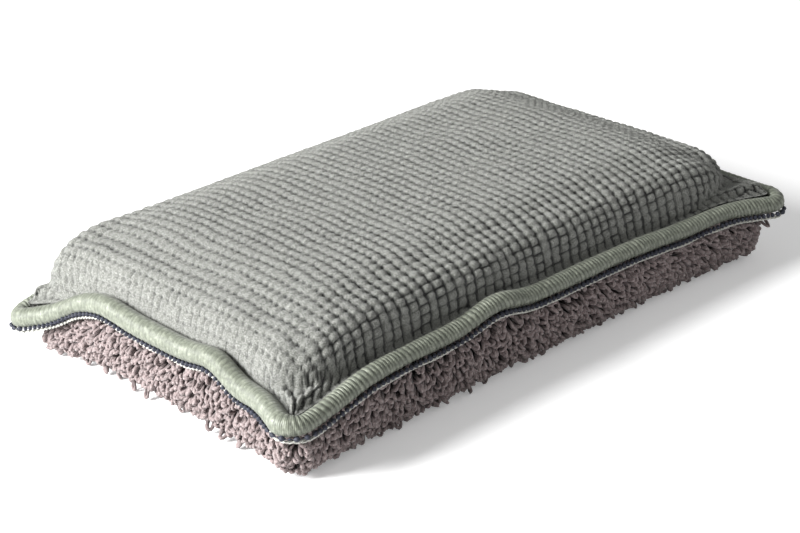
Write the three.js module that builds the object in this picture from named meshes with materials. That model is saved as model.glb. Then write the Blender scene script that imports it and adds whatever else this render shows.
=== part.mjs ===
// A hand pad for spreading wax: a foam block sewn between a ribbed knit cover and a looped pile cover.
// The two covers' edges lie on each other and are wrapped by an overlocked thread binding.
// Millimetres. +X runs along the long side, +Z is up, and the pile's tips rest at z = 0.
import * as THREE from 'three';

// Outline, across the binding.
const padLength = 150;
const padWidth = 91;
const padHeight = 31;
const cornerRadius = 5.8;
const endPull = 3.3;            // how far the short sides draw in between their corners
const sidePull = 2.5;           // how far the long sides draw in
const pullSharpness = 4.3;

// Seam: height of the binding's middle, its fall to each corner, and the waves along each side.
const seamHeight = 17;
const cornerFallReach = 13;
const corners = [
  { side: [-1, -1], fall: 2.5, blockSquareness: 2.9, pileInset: 1.2 },
  { side: [-1, 1], fall: 8.9, blockSquareness: 5.0, pileInset: 5.5 },
  { side: [1, -1], fall: 2.9, blockSquareness: 2.2, pileInset: 3.5 },
  { side: [1, 1], fall: 5.0, blockSquareness: 2.9, pileInset: 3.5 },
];
const seamWaves = [
  { side: [0, -1], at: -0.85, rise: -0.9, reach: 0.12 },
  { side: [0, -1], at: -0.22, rise: 2.0, reach: 0.1 },
  { side: [0, -1], at: 0.62, rise: -1.2, reach: 0.2 },
  { side: [-1, 0], at: -0.6, rise: -1.3, reach: 0.13 },
  { side: [-1, 0], at: -0.4, rise: 1.4, reach: 0.13 },
  { side: [-1, 0], at: 0.4, rise: 0.9, reach: 0.15 },
  { side: [-1, 0], at: 0.74, rise: -1.2, reach: 0.13 },
  { side: [0, 1], at: -0.5, rise: 0.9, reach: 0.15 },
  { side: [0, 1], at: 0.1, rise: -0.8, reach: 0.15 },
  { side: [0, 1], at: 0.55, rise: 1.2, reach: 0.12 },
  { side: [1, 0], at: -0.3, rise: 0.9, reach: 0.2 },
  { side: [1, 0], at: 0.4, rise: -0.8, reach: 0.2 },
];

// Covers and core.
const bindingRadius = 2.3;
const hemThickness = 0.7;       // each cover's edge inside the binding
const hemDepth = 3.0;           // how far the edges reach past the binding's inner side
const clearance = 0.3;
const knitThickness = 2.0;
const ribPitch = 2.6;
const ribDepth = 0.75;
const crownFall = [1.54, 1.32]; // how much lower the plateau is above a short and a long side than at its middle
const endShoulder = 24;         // run of the knit's shoulder above a short side
const sideShoulder = 16.8;
const pileThickness = 8;
const neckSet = 0.5;            // how far inside the binding the pile cover's neck stands
const neckLip = 0.2;            // the step out from the neck to the hem
const neckThickness = 2;
const tuftPitch = 6.4;
const tuftDepth = 1.5;
const wallTuftShare = 0.8;      // of that depth, on the pile's side walls
const restPatch = 8;            // radius of the pile that the pad's weight presses flat
const threadSlack = 0.4;        // extra room between the pile and the threads above it
const trayShoulder = 6;
const traySquareness = 3;
const coreCornerRadius = 18;
const coreSet = 3;              // how far inside the tray's rim the core's edge lies
const coreClearance = 1.2;
const looperThreadRadius = 0.55;
const looperThreadAngle = -46;  // degrees round the binding, from its outer side
const chainThreadRadius = 0.45;
const chainThreadAngle = -76;

// How finely the pieces are faceted.
const bindingStep = 4.6;
const threadStep = 5.2;
const knitRows = 14;
const liningCells = [18, 11];
const coreCells = [10, 6];
const liningRuns = [0, 1.6, 2.6, 5.5]; // how far in from its rim a lining's first rows lie
const liningLip = 0.1;          // the step between a lining's rim and its hem
const faceSet = 0.2;            // and between the knit's ribbed face and its hem
const bendShares = [0.3, 0.65]; // stations inside a rounded corner
const cornerStretch = 1.3;      // how much longer the pile's corner bend is for each step up its wall
const cornerSharpness = 5;      // how close to a corner its own inset of the pile stays

const half = [padLength / 2, padWidth / 2];
const draw = [endPull, sidePull];
const mouth = 2 * bindingRadius + clearance;
const hemInset = mouth - clearance - hemDepth;
const neckInset = mouth + neckSet;
const liningInset = mouth + clearance;
const trayInset = neckInset + neckThickness;
const hemTop = clearance / 2 + hemThickness;
const hemBottom = clearance / 2;
const slotHalf = hemTop + clearance;
const clamp01 = (value) => Math.min(1, Math.max(0, value));

// A place on the pad is (s, t), each from -1 to 1 between opposite sides.
// plan turns it into x and y on a ring that lies inset from the outline.
function plan(s, t, inset, round = Math.max(cornerRadius - inset, 0)) {
  const reach = half.map((size) => size - inset);
  const share = [Math.abs(s), Math.abs(t)];
  const spot = [0, 1].map((axis) => {
    const other = 1 - axis;
    const along = Math.min(1, (share[other] * reach[other]) / (half[other] - cornerRadius));
    return share[axis] * (reach[axis] - draw[axis] * (1 - along ** pullSharpness));
  });
  const [a, b] = [0, 1].map((axis) => (round > 0 ? (spot[axis] - reach[axis]) / round + 1 : 0));
  if (a > 0 && b > 0) {
    spot[0] = reach[0] - round + round * a * Math.sqrt(1 - (b * b) / 2);
    spot[1] = reach[1] - round + round * b * Math.sqrt(1 - (a * a) / 2);
  }
  return [Math.sign(s) * spot[0], Math.sign(t) * spot[1]];
}

function cornerBlend(s, t, name) {
  const share = ({ side }) => ((1 + side[0] * s) * (1 + side[1] * t)) / 4;
  return corners.reduce((sum, corner) => sum + share(corner) * corner[name], 0);
}

// Height of the binding's middle beside the place (s, t).
function seam(s, t) {
  let z = seamHeight;
  for (const { side, fall } of corners) {
    const away = Math.hypot((s - side[0]) * half[0], (t - side[1]) * half[1]);
    z -= fall * Math.exp(-((away / cornerFallReach) ** 2));
  }
  for (const { side, at, rise, reach } of seamWaves) {
    const nearSide = Math.max(0, side[0] * s + side[1] * t) ** 4;
    const along = side[0] === 0 ? s : t;
    z += rise * nearSide * Math.exp(-(((along - at) / reach) ** 2));
  }
  return z;
}

// 0 over the flat middle and 1 where a shoulder that starts at the margin start has come down to the seam.
function shoulderShare(s, t, inset, start, runs, squareness) {
  const share = [s, t].map((place, axis) => {
    const margin = inset + (1 - Math.abs(place)) * (half[axis] - inset);
    return clamp01(1 - (margin - start) / runs[axis]);
  });
  return Math.min(1, (share[0] ** squareness + share[1] ** squareness) ** (1 / squareness));
}

// The knit's dome, or a surface that lies depth inside it.
function domeHeight(s, t, inset, depth, foot) {
  const base = seam(s, t) + foot;
  const squareness = cornerBlend(s, t, 'blockSquareness');
  const share = shoulderShare(s, t, inset, mouth + depth, [endShoulder, sideShoulder], squareness);
  const crown = padHeight - crownFall[0] * s * s - crownFall[1] * t * t - depth;
  return base + (crown - base) * Math.sqrt(1 - share * share);
}

// The inside of the pile cover, or a surface that lies depth inside it.
function trayHeight(s, t, inset, depth) {
  const rim = seam(s, t) - hemBottom + depth;
  const share = shoulderShare(s, t, inset, trayInset + depth, [trayShoulder, trayShoulder], traySquareness);
  const drop = Math.max(0, rim - pileThickness - depth);
  return rim - drop * (1 - share ** traySquareness) ** (1 / traySquareness);
}

// Points and triangles of one closed piece.
class Skin {
  points = [];
  triangles = [];

  loop(stations, place) {
    return stations.map((station) => ({ ...station, index: this.points.push(place(station)) - 1 }));
  }

  // A patch over every (s, t) pair, facing up or down. Returns its rim as a loop.
  patch(sPlaces, tPlaces, facesUp, place) {
    const index = tPlaces.map((t, j) => sPlaces.map((s, i) => this.points.push(place(s, t, i, j)) - 1));
    const last = [sPlaces.length - 1, tPlaces.length - 1];
    for (let j = 0; j < last[1]; j++) {
      for (let i = 0; i < last[0]; i++) {
        const [a, b, c, d] = [index[j][i], index[j][i + 1], index[j + 1][i + 1], index[j + 1][i]];
        // Diagonals alternate, so that each bump has four like sides.
        const pairs = (i + j) % 2 ? [[a, b, c], [a, c, d]] : [[a, b, d], [b, c, d]];
        for (const [p, q, r] of pairs) this.triangles.push(facesUp ? [p, q, r] : [p, r, q]);
      }
    }
    const rim = [];
    for (let i = 0; i < last[0]; i++) rim.push({ index: index[0][i], s: sPlaces[i], t: -1 });
    for (let j = 0; j < last[1]; j++) rim.push({ index: index[j][last[0]], s: 1, t: tPlaces[j] });
    for (let i = last[0]; i > 0; i--) rim.push({ index: index[last[1]][i], s: sPlaces[i], t: 1 });
    for (let j = last[1]; j > 0; j--) rim.push({ index: index[j][0], s: -1, t: tPlaces[j] });
    return rim.map((station) => ({ ...station, at: aroundRim(station) }));
  }

  // Joins two loops that both run round the pad the same way, and may differ in their number of points.
  join(lower, upper) {
    const at = (loop, k) => loop[k % loop.length].at + 4 * Math.floor(k / loop.length);
    const index = (loop, k) => loop[k % loop.length].index;
    let [i, j] = [0, 0];
    while (i < lower.length || j < upper.length) {
      const lowerNext = j >= upper.length || (i < lower.length && at(lower, i + 1) <= at(upper, j + 1));
      const corner = lowerNext ? index(lower, i + 1) : index(upper, j + 1);
      this.triangles.push([index(lower, i), corner, index(upper, j)]);
      if (lowerNext) i++;
      else j++;
    }
  }

  chain(loops) {
    for (let k = 1; k < loops.length; k++) this.join(loops[k - 1], loops[k]);
  }

  mesh(name, colour, roughness) {
    const geometry = new THREE.BufferGeometry();
    geometry.setAttribute('position', new THREE.Float32BufferAttribute(this.points.flat(), 3));
    geometry.setIndex(this.triangles.flat());
    geometry.computeVertexNormals();
    const material = new THREE.MeshStandardMaterial({ color: colour, roughness, metalness: 0 });
    const mesh = new THREE.Mesh(geometry, material);
    mesh.name = name;
    return mesh;
  }
}

// How far round the rim a station lies, from 0 at the front left corner to 4, counter-clockwise from above.
function aroundRim({ s, t }) {
  if (t === -1 && s < 1) return (s + 1) / 2;
  if (s === 1 && t < 1) return 1 + (t + 1) / 2;
  if (t === 1 && s > -1) return 2 + (1 - s) / 2;
  return 3 + (1 - t) / 2;
}

// Stations along one side from corner to corner, with short steps where the rounded corner is.
function sideStations(size, step) {
  const bend = (2 * cornerRadius) / size;
  const places = [-1, ...bendShares.map((share) => -1 + bend * share), -1 + bend];
  const cells = Math.round((size - 2 * cornerRadius) / step);
  for (let k = 1; k < cells; k++) places.push(-1 + bend + ((2 - 2 * bend) * k) / cells);
  return [...places, 1 - bend, ...bendShares.map((share) => 1 - bend * share).reverse()];
}

function rimStations(step) {
  const [long, short] = [sideStations(padLength, step), sideStations(padWidth, step)];
  const stations = [
    ...long.map((s) => ({ s, t: -1 })),
    ...short.map((t) => ({ s: 1, t })),
    ...long.map((s) => ({ s: -s, t: 1 })),
    ...short.map((t) => ({ s: -1, t: -t })),
  ];
  return stations.map((station) => ({ ...station, at: aroundRim(station) }));
}

// The line that the binding's middle follows, with the way out from the pad at each station.
function seamLine(step) {
  const stations = rimStations(step);
  const middle = stations.map(({ s, t }) => new THREE.Vector2(...plan(s, t, bindingRadius)));
  const count = stations.length;
  return stations.map(({ s, t, at }, k) => {
    const ahead = middle[(k + 1) % count].clone().sub(middle[(k + count - 1) % count]).normalize();
    return { at, middle: middle[k], outward: new THREE.Vector2(ahead.y, -ahead.x), height: seam(s, t) };
  });
}

// A point beside a station of the seam line, measured out and up from the binding's middle.
function beside({ middle, outward, height }, out, up) {
  return [middle.x + outward.x * out, middle.y + outward.y * out, height + up];
}

// A loop that follows the seam, inset from the outline and raised from the binding's middle.
function seamLoop(skin, inset, rise) {
  return skin.loop(seamLine(bindingStep), (station) => beside(station, bindingRadius - inset, rise));
}

// Places from -1 to 1 that divide a surface line into equal lengths of cloth.
function evenAlongCloth(count, pointAt) {
  const samples = 600;
  const places = Array.from({ length: samples + 1 }, (_, k) => -1 + (2 * k) / samples);
  const points = places.map((place) => new THREE.Vector3(...pointAt(place)));
  const lengths = [0];
  for (let k = 1; k <= samples; k++) lengths.push(lengths[k - 1] + points[k].distanceTo(points[k - 1]));
  const cells = count(lengths[samples]);
  let k = 1;
  return Array.from({ length: cells + 1 }, (_, cell) => {
    const wanted = (lengths[samples] * cell) / cells;
    while (k < samples && lengths[k] < wanted) k++;
    const share = clamp01((wanted - lengths[k - 1]) / (lengths[k] - lengths[k - 1]));
    return cell === cells ? 1 : places[k - 1] + share * (places[k] - places[k - 1]);
  });
}

// The outward normal of a surface given by a function of (s, t), facing up or down.
function normalAt(surface, s, t, facing) {
  const nudge = 0.002;
  const away = (ds, dt) => new THREE.Vector3(...surface(s + ds, t + dt));
  const alongS = away(s > 0 ? 0 : nudge, 0).sub(away(s > 0 ? -nudge : 0, 0));
  const alongT = away(0, t > 0 ? 0 : nudge).sub(away(0, t > 0 ? -nudge : 0));
  return alongS.cross(alongT).normalize().multiplyScalar(facing);
}

// Lining places across one axis: close together up the walls, then even.
function liningPlaces(axis, inset, cells = liningCells[axis]) {
  const size = half[axis] - inset;
  const wall = liningRuns.map((run) => 1 - run / size);
  const inner = wall.pop();
  const even = Array.from({ length: cells + 1 }, (_, k) => inner - (2 * inner * k) / cells);
  return [...wall, ...even, ...wall.map((place) => -place).reverse()].reverse();
}

function makeKnitCover() {
  const skin = new Skin();
  const lining = skin.patch(liningPlaces(0, liningInset), liningPlaces(1, liningInset), false,
    (s, t) => [...plan(s, t, liningInset), domeHeight(s, t, liningInset, knitThickness, hemBottom)]);
  const hem = [
    seamLoop(skin, liningInset - liningLip, hemBottom),
    seamLoop(skin, hemInset, hemBottom),
    seamLoop(skin, hemInset, hemTop),
    seamLoop(skin, mouth, hemTop),
  ];
  // Ribs run across the pad, evenly spaced along the cloth. Their crests lie on the dome.
  const faceInset = mouth + faceSet;
  const dome = (s, t) => [...plan(s, t, faceInset), domeHeight(s, t, faceInset, 0, hemTop)];
  const ribPlaces = evenAlongCloth((cloth) => 2 * Math.round(cloth / ribPitch), (s) => dome(s, 0));
  const rowPlaces = evenAlongCloth(() => knitRows, (t) => dome(0, t));
  const ribbed = skin.patch(ribPlaces, rowPlaces, true, (s, t, i, j) => {
    const crest = new THREE.Vector3(...dome(s, t));
    const onRim = j === 0 || j === rowPlaces.length - 1 || i === 0 || i === ribPlaces.length - 1;
    const depth = i % 2 || onRim ? 0 : ribDepth;
    return crest.addScaledVector(normalAt(dome, s, t, 1), -depth).toArray();
  });
  skin.chain([lining, ...hem, ribbed]);
  return skin.mesh('knit_cover', '#8d9088', 0.95);
}

// The pile's section from its flat underside to the seam: how far in from the outline, and how high.
// Heights are shares of the way up to the threads, and the last one is measured down from the seam.
const pileSection = [
  { inset: 12, share: 0 },
  { inset: 7, share: 0.05 },
  { inset: 3.6, share: 0.18 },
  { inset: 1.9, share: 0.4 },
  { inset: 1.3, share: 0.68 },
  { inset: 2.2, share: 1 },
  { inset: neckInset, below: bindingRadius + 0.6 },
];
const threadRoom = bindingRadius + 2 * (clearance + chainThreadRadius) + threadSlack;

function makePileCover() {
  const skin = new Skin();
  const wallSteps = pileSection.length - 1;
  const underside = [0, 1].map((axis) => {
    const cells = 2 * Math.round((half[axis] - pileSection[0].inset) / tuftPitch);
    const flat = Array.from({ length: cells * 2 + 1 }, (_, k) => ({ flat: k / cells - 1, wall: 0 }));
    const wall = pileSection.slice(1).map((_, k) => ({ flat: 1, wall: k + 1 }));
    return [...wall.map(({ wall: step }) => ({ flat: -1, wall: step })).reverse(), ...flat, ...wall];
  });
  // The wall's corner stations share out the last stretch of each side, and more of it the higher they are.
  const cornerRoom = (axis, step) => (step * cornerStretch) / half[axis];
  const spot = (places, step) => [0, 1].map((axis) => {
    const place = places[axis];
    const free = 1 - cornerRoom(axis, step);
    if (place.wall === 0) return place.flat * (step === 0 ? 1 : free);
    return Math.sign(place.flat) * (free + (1 - free) * (place.wall / step));
  });
  const surface = (places) => {
    const step = Math.max(places[0].wall, places[1].wall);
    const { inset, share, below } = pileSection[step];
    const [s, t] = spot(places, step);
    const top = seam(s, t);
    const nearCorner = Math.abs(s * t) ** cornerSharpness;
    const outside = step > 0 && step < wallSteps ? nearCorner * cornerBlend(s, t, 'pileInset') : 0;
    const [x, y] = plan(s, t, inset);
    const z = share === undefined ? top - below : share * (top - threadRoom);
    return new THREE.Vector3(x - Math.sign(s) * outside, y - Math.sign(t) * outside, z);
  };
  const places = [0, 1].map((axis) => underside[axis].map((_, k) => -1 + (2 * k) / (underside[axis].length - 1)));
  const outer = skin.patch(places[0], places[1], false, (_s, _t, i, j) => {
    const stations = [underside[0][i], underside[1][j]];
    const step = Math.max(stations[0].wall, stations[1].wall);
    const point = surface(stations);
    const isTuft = i % 2 === 1 && j % 2 === 1;
    if (isTuft || step === wallSteps) return point.toArray();
    const toMiddle = spot(stations, step).map((place) => -place * Math.abs(place));
    const inward = step === 0 ? new THREE.Vector3(0, 0, 1) : new THREE.Vector3(...toMiddle, 0).normalize();
    const pressed = clamp01(Math.hypot(point.x, point.y) / restPatch - 1);
    return point.addScaledVector(inward, tuftDepth * (step === 0 ? pressed : wallTuftShare)).toArray();
  });
  for (const station of outer) station.at = outerAround(station.at, skin.points[station.index]);
  const hem = [
    seamLoop(skin, neckInset - neckLip, -hemTop),
    seamLoop(skin, hemInset, -hemTop),
    seamLoop(skin, hemInset, -hemBottom),
    seamLoop(skin, liningInset - liningLip, -hemBottom),
  ];
  const lining = skin.patch(liningPlaces(0, liningInset), liningPlaces(1, liningInset), true,
    (s, t) => [...plan(s, t, liningInset), trayHeight(s, t, liningInset, 0)]);
  skin.chain([outer, ...hem, lining]);
  return skin.mesh('pile_cover', '#8b7d7d', 1);
}

// How far round the rim a point on the pile's top edge lies, on the side where the station at is.
function outerAround(at, [x, y]) {
  const side = Math.floor(at);
  const along = [x / half[0], y / half[1], -x / half[0], -y / half[1]][side];
  return side + (along + 1) / 2;
}

function makeFoamCore() {
  const skin = new Skin();
  const inset = trayInset + coreSet;
  const places = [0, 1].map((axis) => liningPlaces(axis, inset, coreCells[axis]));
  // The rounded corners stand further in than a square ring's, so the heights are taken where they stand.
  const point = (s, t, height) => {
    const rounded = plan(s, t, inset, coreCornerRadius);
    const square = plan(s, t, inset, 0);
    const [u, v] = [s, t].map((place, axis) => (place === 0 ? 0 : (place * rounded[axis]) / square[axis]));
    return [...rounded, height(u, v)];
  };
  const under = skin.patch(...places, false,
    (s, t) => point(s, t, (u, v) => trayHeight(u, v, inset, coreClearance)));
  const over = skin.patch(...places, true,
    (s, t) => point(s, t, (u, v) => domeHeight(u, v, inset, knitThickness + coreClearance, 0)));
  skin.chain([under, over]);
  return skin.mesh('foam_core', '#c9c4b4', 0.95);
}

// Sweeps a closed section round the seam. The section is (out, up) from the binding's middle.
function sweepRound(name, section, step, colour, roughness) {
  const skin = new Skin();
  const stations = seamLine(step);
  const count = stations.length;
  for (const station of stations) {
    for (const [out, up] of section) skin.points.push(beside(station, out, up));
  }
  const sides = section.length;
  for (let k = 0; k < count; k++) {
    for (let side = 0; side < sides; side++) {
      const [here, next] = [k * sides, ((k + 1) % count) * sides];
      const other = (side + 1) % sides;
      skin.triangles.push([here + side, next + side, next + other], [here + side, next + other, here + other]);
    }
  }
  return skin.mesh(name, colour, roughness);
}

// The binding is a roll of thread that is open along its inner side, where it takes the covers' two hems.
function makeBinding() {
  const lip = Math.asin(slotHalf / bindingRadius);
  const turns = 6;
  const section = Array.from({ length: turns + 1 }, (_, k) => {
    const angle = -Math.PI + lip + ((2 * Math.PI - 2 * lip) * k) / turns;
    return [bindingRadius * Math.cos(angle), bindingRadius * Math.sin(angle)];
  });
  const slotEnd = bindingRadius - hemInset + clearance;
  section.push([slotEnd, slotHalf], [slotEnd, -slotHalf]);
  return sweepRound('edge_binding', section, bindingStep, '#8f9484', 0.6);
}

function makeThread(name, radius, angle, colour) {
  const away = bindingRadius + clearance + radius;
  const turn = THREE.MathUtils.degToRad(angle);
  const section = Array.from({ length: 4 }, (_, k) => [
    away * Math.cos(turn) + radius * Math.cos((k * Math.PI) / 2),
    away * Math.sin(turn) + radius * Math.sin((k * Math.PI) / 2),
  ]);
  return sweepRound(name, section, threadStep, colour, 0.7);
}

const pad = new THREE.Group();
pad.add(makeFoamCore());
pad.add(makeKnitCover());
pad.add(makePileCover());
pad.add(makeBinding());
pad.add(makeThread('looper_thread', looperThreadRadius, looperThreadAngle, '#20222c'));
pad.add(makeThread('chain_thread', chainThreadRadius, chainThreadAngle, '#d9dad6'));

export default pad;
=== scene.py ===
import math

import bpy
import numpy as np
from mathutils import Matrix, Vector


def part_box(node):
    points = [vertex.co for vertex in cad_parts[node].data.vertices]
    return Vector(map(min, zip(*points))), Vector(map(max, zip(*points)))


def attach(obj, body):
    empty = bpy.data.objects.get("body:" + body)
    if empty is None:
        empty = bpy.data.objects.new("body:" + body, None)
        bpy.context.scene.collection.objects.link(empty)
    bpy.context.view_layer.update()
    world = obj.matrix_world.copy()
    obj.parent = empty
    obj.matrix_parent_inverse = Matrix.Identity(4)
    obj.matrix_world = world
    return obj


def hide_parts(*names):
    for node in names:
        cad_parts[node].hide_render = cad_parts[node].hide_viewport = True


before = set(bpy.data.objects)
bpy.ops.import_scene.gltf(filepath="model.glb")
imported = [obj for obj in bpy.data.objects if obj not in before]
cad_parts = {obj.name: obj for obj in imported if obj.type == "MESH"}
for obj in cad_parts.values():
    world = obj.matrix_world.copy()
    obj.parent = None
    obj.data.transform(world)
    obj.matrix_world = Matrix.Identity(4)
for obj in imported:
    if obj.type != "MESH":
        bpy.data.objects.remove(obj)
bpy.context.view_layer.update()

# All lengths here are in millimetres. Meshes are written in metres.
MM = 0.001


def box_mm(node):
    low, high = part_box(node)
    return np.array(low) / MM, np.array(high) / MM


# Overall sizes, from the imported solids.
BINDING_LOW, BINDING_HIGH = box_mm("edge_binding")
HALF = np.round((BINDING_HIGH - BINDING_LOW)[:2]) / 2
CROWN = box_mm("knit_cover")[1][2]

# The seam's plan and height, as the solids have them.
CORNER_RADIUS = 5.8
PULL = np.array([3.3, 2.5])
PULL_SHARPNESS = 4.3
SEAM_HEIGHT = 17.0
CORNER_FALL_REACH = 13.0
CORNERS = [
    {"side": (-1, -1), "fall": 2.5, "block": 2.9, "pile": 2.4},
    {"side": (-1, 1), "fall": 8.9, "block": 5.0, "pile": 5.5},
    {"side": (1, -1), "fall": 2.9, "block": 2.2, "pile": 3.5},
    {"side": (1, 1), "fall": 5.0, "block": 2.9, "pile": 3.5},
]
SEAM_WAVES = [
    {"side": (0, -1), "at": -0.85, "rise": -0.9, "reach": 0.12},
    {"side": (0, -1), "at": -0.22, "rise": 2.0, "reach": 0.1},
    {"side": (0, -1), "at": 0.62, "rise": -1.2, "reach": 0.2},
    {"side": (-1, 0), "at": -0.6, "rise": -1.3, "reach": 0.13},
    {"side": (-1, 0), "at": -0.4, "rise": 1.4, "reach": 0.13},
    {"side": (-1, 0), "at": 0.4, "rise": 0.9, "reach": 0.15},
    {"side": (-1, 0), "at": 0.74, "rise": -1.2, "reach": 0.13},
    {"side": (0, 1), "at": -0.5, "rise": 0.9, "reach": 0.15},
    {"side": (0, 1), "at": 0.1, "rise": -0.8, "reach": 0.15},
    {"side": (0, 1), "at": 0.55, "rise": 1.2, "reach": 0.12},
    {"side": (1, 0), "at": -0.3, "rise": 0.9, "reach": 0.2},
    {"side": (1, 0), "at": 0.4, "rise": -0.8, "reach": 0.2},
]
BINDING_RADIUS = 2.3
LONG_SIDE_THINNING = 0.17
CLEARANCE = 0.3
HEM_TOP = 0.85
MOUTH = 2 * BINDING_RADIUS + CLEARANCE
KNIT_THICKNESS = 2.0
SHOULDERS = (24.0, 16.8)
CROWN_FALL = (1.54, 1.32)
# How much higher the knit's foot puffs up beside the binding, everywhere and at each corner.
FOOT_PUFF = 1.6
EAR_PUFFS = {(-1, -1): 0.3, (-1, 1): 4.0, (1, -1): 2.2, (1, 1): 1.0}
EAR_REACH = 17.0
EAR_RIM_SHARE = 0.55
# Where the puff rises and where it fades again, inwards from the binding's mouth.
PUFF_RISE = (-0.6, 1.4)
PUFF_FADE = (2.0, 10.0)
# How far two corners are drawn out along x and along y.
EAR_STRETCHES = {(-1, 1): 1.8, (1, -1): 1.6}
EAR_STRETCH_REACH = 11.0

# Knit. A stitch is one bobble of a rib.
RIB_PITCH = 2.6
ROW_PITCH = 2.0
MOST_STITCHES = 60
RIB_SAMPLES = 6
ROW_SAMPLES = 5
CLOTH_PROBES = 4000
KNIT_RIM_INSET = MOUTH - 0.6
# How far ribs and rows wander, and how far each rib's rows are shifted, in stitches.
RIB_WANDER = 0.14
RIB_SHAKE = 0.04
ROW_WANDER = 0.12
ROW_SHIFT = 0.16
# How high a stitch stands, and how much chance changes that and lifts the whole stitch.
STITCH_HEIGHT = 0.88
STITCH_HEIGHT_CHANCE = 0.35
STITCH_LIFT_CHANCE = 0.14
# The notch between two stitches, as a share of their height, and what walls, end walls and chance add.
NOTCH = 0.5
NOTCH_ON_WALLS = 0.22
NOTCH_ON_ENDS = -0.2
NOTCH_CHANCE = 0.25
GROOVE_LOSS_ON_ENDS = 0.35
# The share of the knit beside its rim over which the stitches flatten out.
RIM_FADE = 0.02
LINING_LIFT = 0.15

# Binding. Its wraps lean, drift along the roll and lie at their own heights.
WRAP_PITCH = 1.0
WRAP_STATIONS = 6
BINDING_SIDES = 22
MOST_WRAPS = 4096
WRAP_LEAN = 0.6
WRAP_DRIFT = 0.35
WRAP_HEIGHT_CHANCE = 0.06
WRAP_DEPTH = 0.1
LONG_SIDE_WRAP_DEPTH = 0.22
ROLL_WANDER = 0.1
SLOT_END = 1.0
STRAND_PITCH = 0.27

# Threads. Angles are in degrees round the binding from its outer side, and gaps are from its surface.
BEAD_PITCH = 1.3
BEAD_STATIONS = 6
BEAD_SIDES = 8
BEAD_SHARE = 0.6
BEAD_RADIUS = 0.6
BEAD_SIZES = (0.85, 1.1)
THINNEST_THREAD = 0.07
LOOPER_ANGLE = -42
LOOPER_GAP = 0.35
CHAIN_ANGLE = -66
CHAIN_GAP = 0.75
CHAIN_SAG = 0.12
CHAIN_STEP = 0.3
CHAIN_TWIST = 2.0
CHAIN_SIDES = 6
PLY_RADIUS = 0.18
PLY_OVERLAP = 1.05

# Pile backing: its inset from the outline, and its share of the way up to the seam.
BACKING_SECTION = [
    (14.0, 0.0), (9.0, 0.03), (6.0, 0.16), (4.6, 0.4), (4.2, 0.68), (4.6, 0.92), (6.2, 1.0),
]
BACKING_LIFT = 2.6
BACKING_ROOM = 3.2
BACKING_CELLS = (60, 36)
NECK_LIFT = 0.15
NECK_SET = 0.2
BACKING_TOP_INSET = 12.0
BACKING_TOP = 7.5
CORNER_TUCK_SHARPNESS = 5

# The wall that the loops' tips make: shares of its height, and its inset from the outline there.
WALL_HEIGHTS = [0, 0.05, 0.18, 0.4, 0.68, 1.0]
WALL_INSETS = [10.0, 6.0, 3.2, 1.9, 1.4, 2.4]
THREAD_ROOM = 3.3

# Loops on the wall.
WALL_LOOP_PITCH = 1.35
WALL_LOOP_ROWS = 11
WALL_LOOP_LENGTHS = (2.8, 3.9)
WALL_ROW_LOWEST = 0.35
WALL_HEIGHT_CHANCE = 0.05
# The loops point away from this smaller ring, and droop.
WALL_CORE_SHARES = (0.9, 0.85)
WALL_CORE_INSET = 6.0
WALL_DROOP = -0.55
WALL_DROOP_CHANCE = 0.25
WALL_DROOP_RISE = 0.4
TIP_ROOM = 0.3

# Loops on the underside.
UNDERSIDE_LOOP_PITCH = 2.9
UNDERSIDE_ROW_SHARE = 0.87
UNDERSIDE_INSET = 7.5
UNDERSIDE_ROOT_HEIGHT = 3.0
UNDERSIDE_ROOT_CHANCE = 0.35
UNDERSIDE_LEAN = 0.45
UNDERSIDE_LOOP_LENGTHS = (2.6, 3.0)

# Every loop.
LOOP_STATIONS = 9
LOOP_SIDES = 6
LOOP_HALF_WIDTHS = (0.34, 0.62)
LOOP_RADII = (0.31, 0.46)
LOOP_CURL = 0.9
LOOP_SWING = 0.5
LOOP_S_BEND = 0.35
LOOP_LUMP = 0.14

# The photo's camera: azimuth, elevation and roll in degrees, the rest in millimetres.
CAMERA_ANGLES = (-43.27, 25.38, -1.44)
CAMERA_TARGET = (-5.3, -1.9, 10.9)
CAMERA_DISTANCE = 452
CAMERA_LENS = 93.2
CAMERA_SENSOR = 36
FLOOR_REACH = 4000
FLOOR_DROP = 0.05
FLOOR_GLOW = 0.25
WORLD_STRENGTH = 0.27
# Each lamp's place and size in metres, and its power in watts.
LAMPS = {
    "key": ((-0.75, 0.25, 0.42), 0.4, 22),
    "fill": ((0.4, -0.6, 0.8), 0.8, 1.5),
}


def plan(s, t, inset):
    """x and y of the place (s, t), each from -1 to 1 between two sides, on a ring inset from the outline."""
    reach = HALF - inset
    share = (np.abs(s), np.abs(t))
    radius = max(CORNER_RADIUS - inset, 0)
    spot = []
    for axis in (0, 1):
        other = 1 - axis
        along = np.minimum(1, share[other] * reach[other] / (HALF[other] - CORNER_RADIUS))
        spot.append(share[axis] * (reach[axis] - PULL[axis] * (1 - along**PULL_SHARPNESS)))
    if radius > 0:
        a, b = (np.clip((spot[axis] - reach[axis]) / radius + 1, 0, None) for axis in (0, 1))
        bent = (a > 0) & (b > 0)
        spot[0] = np.where(bent, reach[0] - radius + radius * a * np.sqrt(1 - b * b / 2), spot[0])
        spot[1] = np.where(bent, reach[1] - radius + radius * b * np.sqrt(1 - a * a / 2), spot[1])
    x, y = np.sign(s) * spot[0], np.sign(t) * spot[1]
    for side, stretch in EAR_STRETCHES.items():
        away = np.hypot((s - side[0]) * HALF[0], (t - side[1]) * HALF[1])
        pull = stretch * np.exp(-((away / EAR_STRETCH_REACH) ** 2))
        x, y = x + side[0] * pull, y + side[1] * pull
    return x, y


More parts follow.
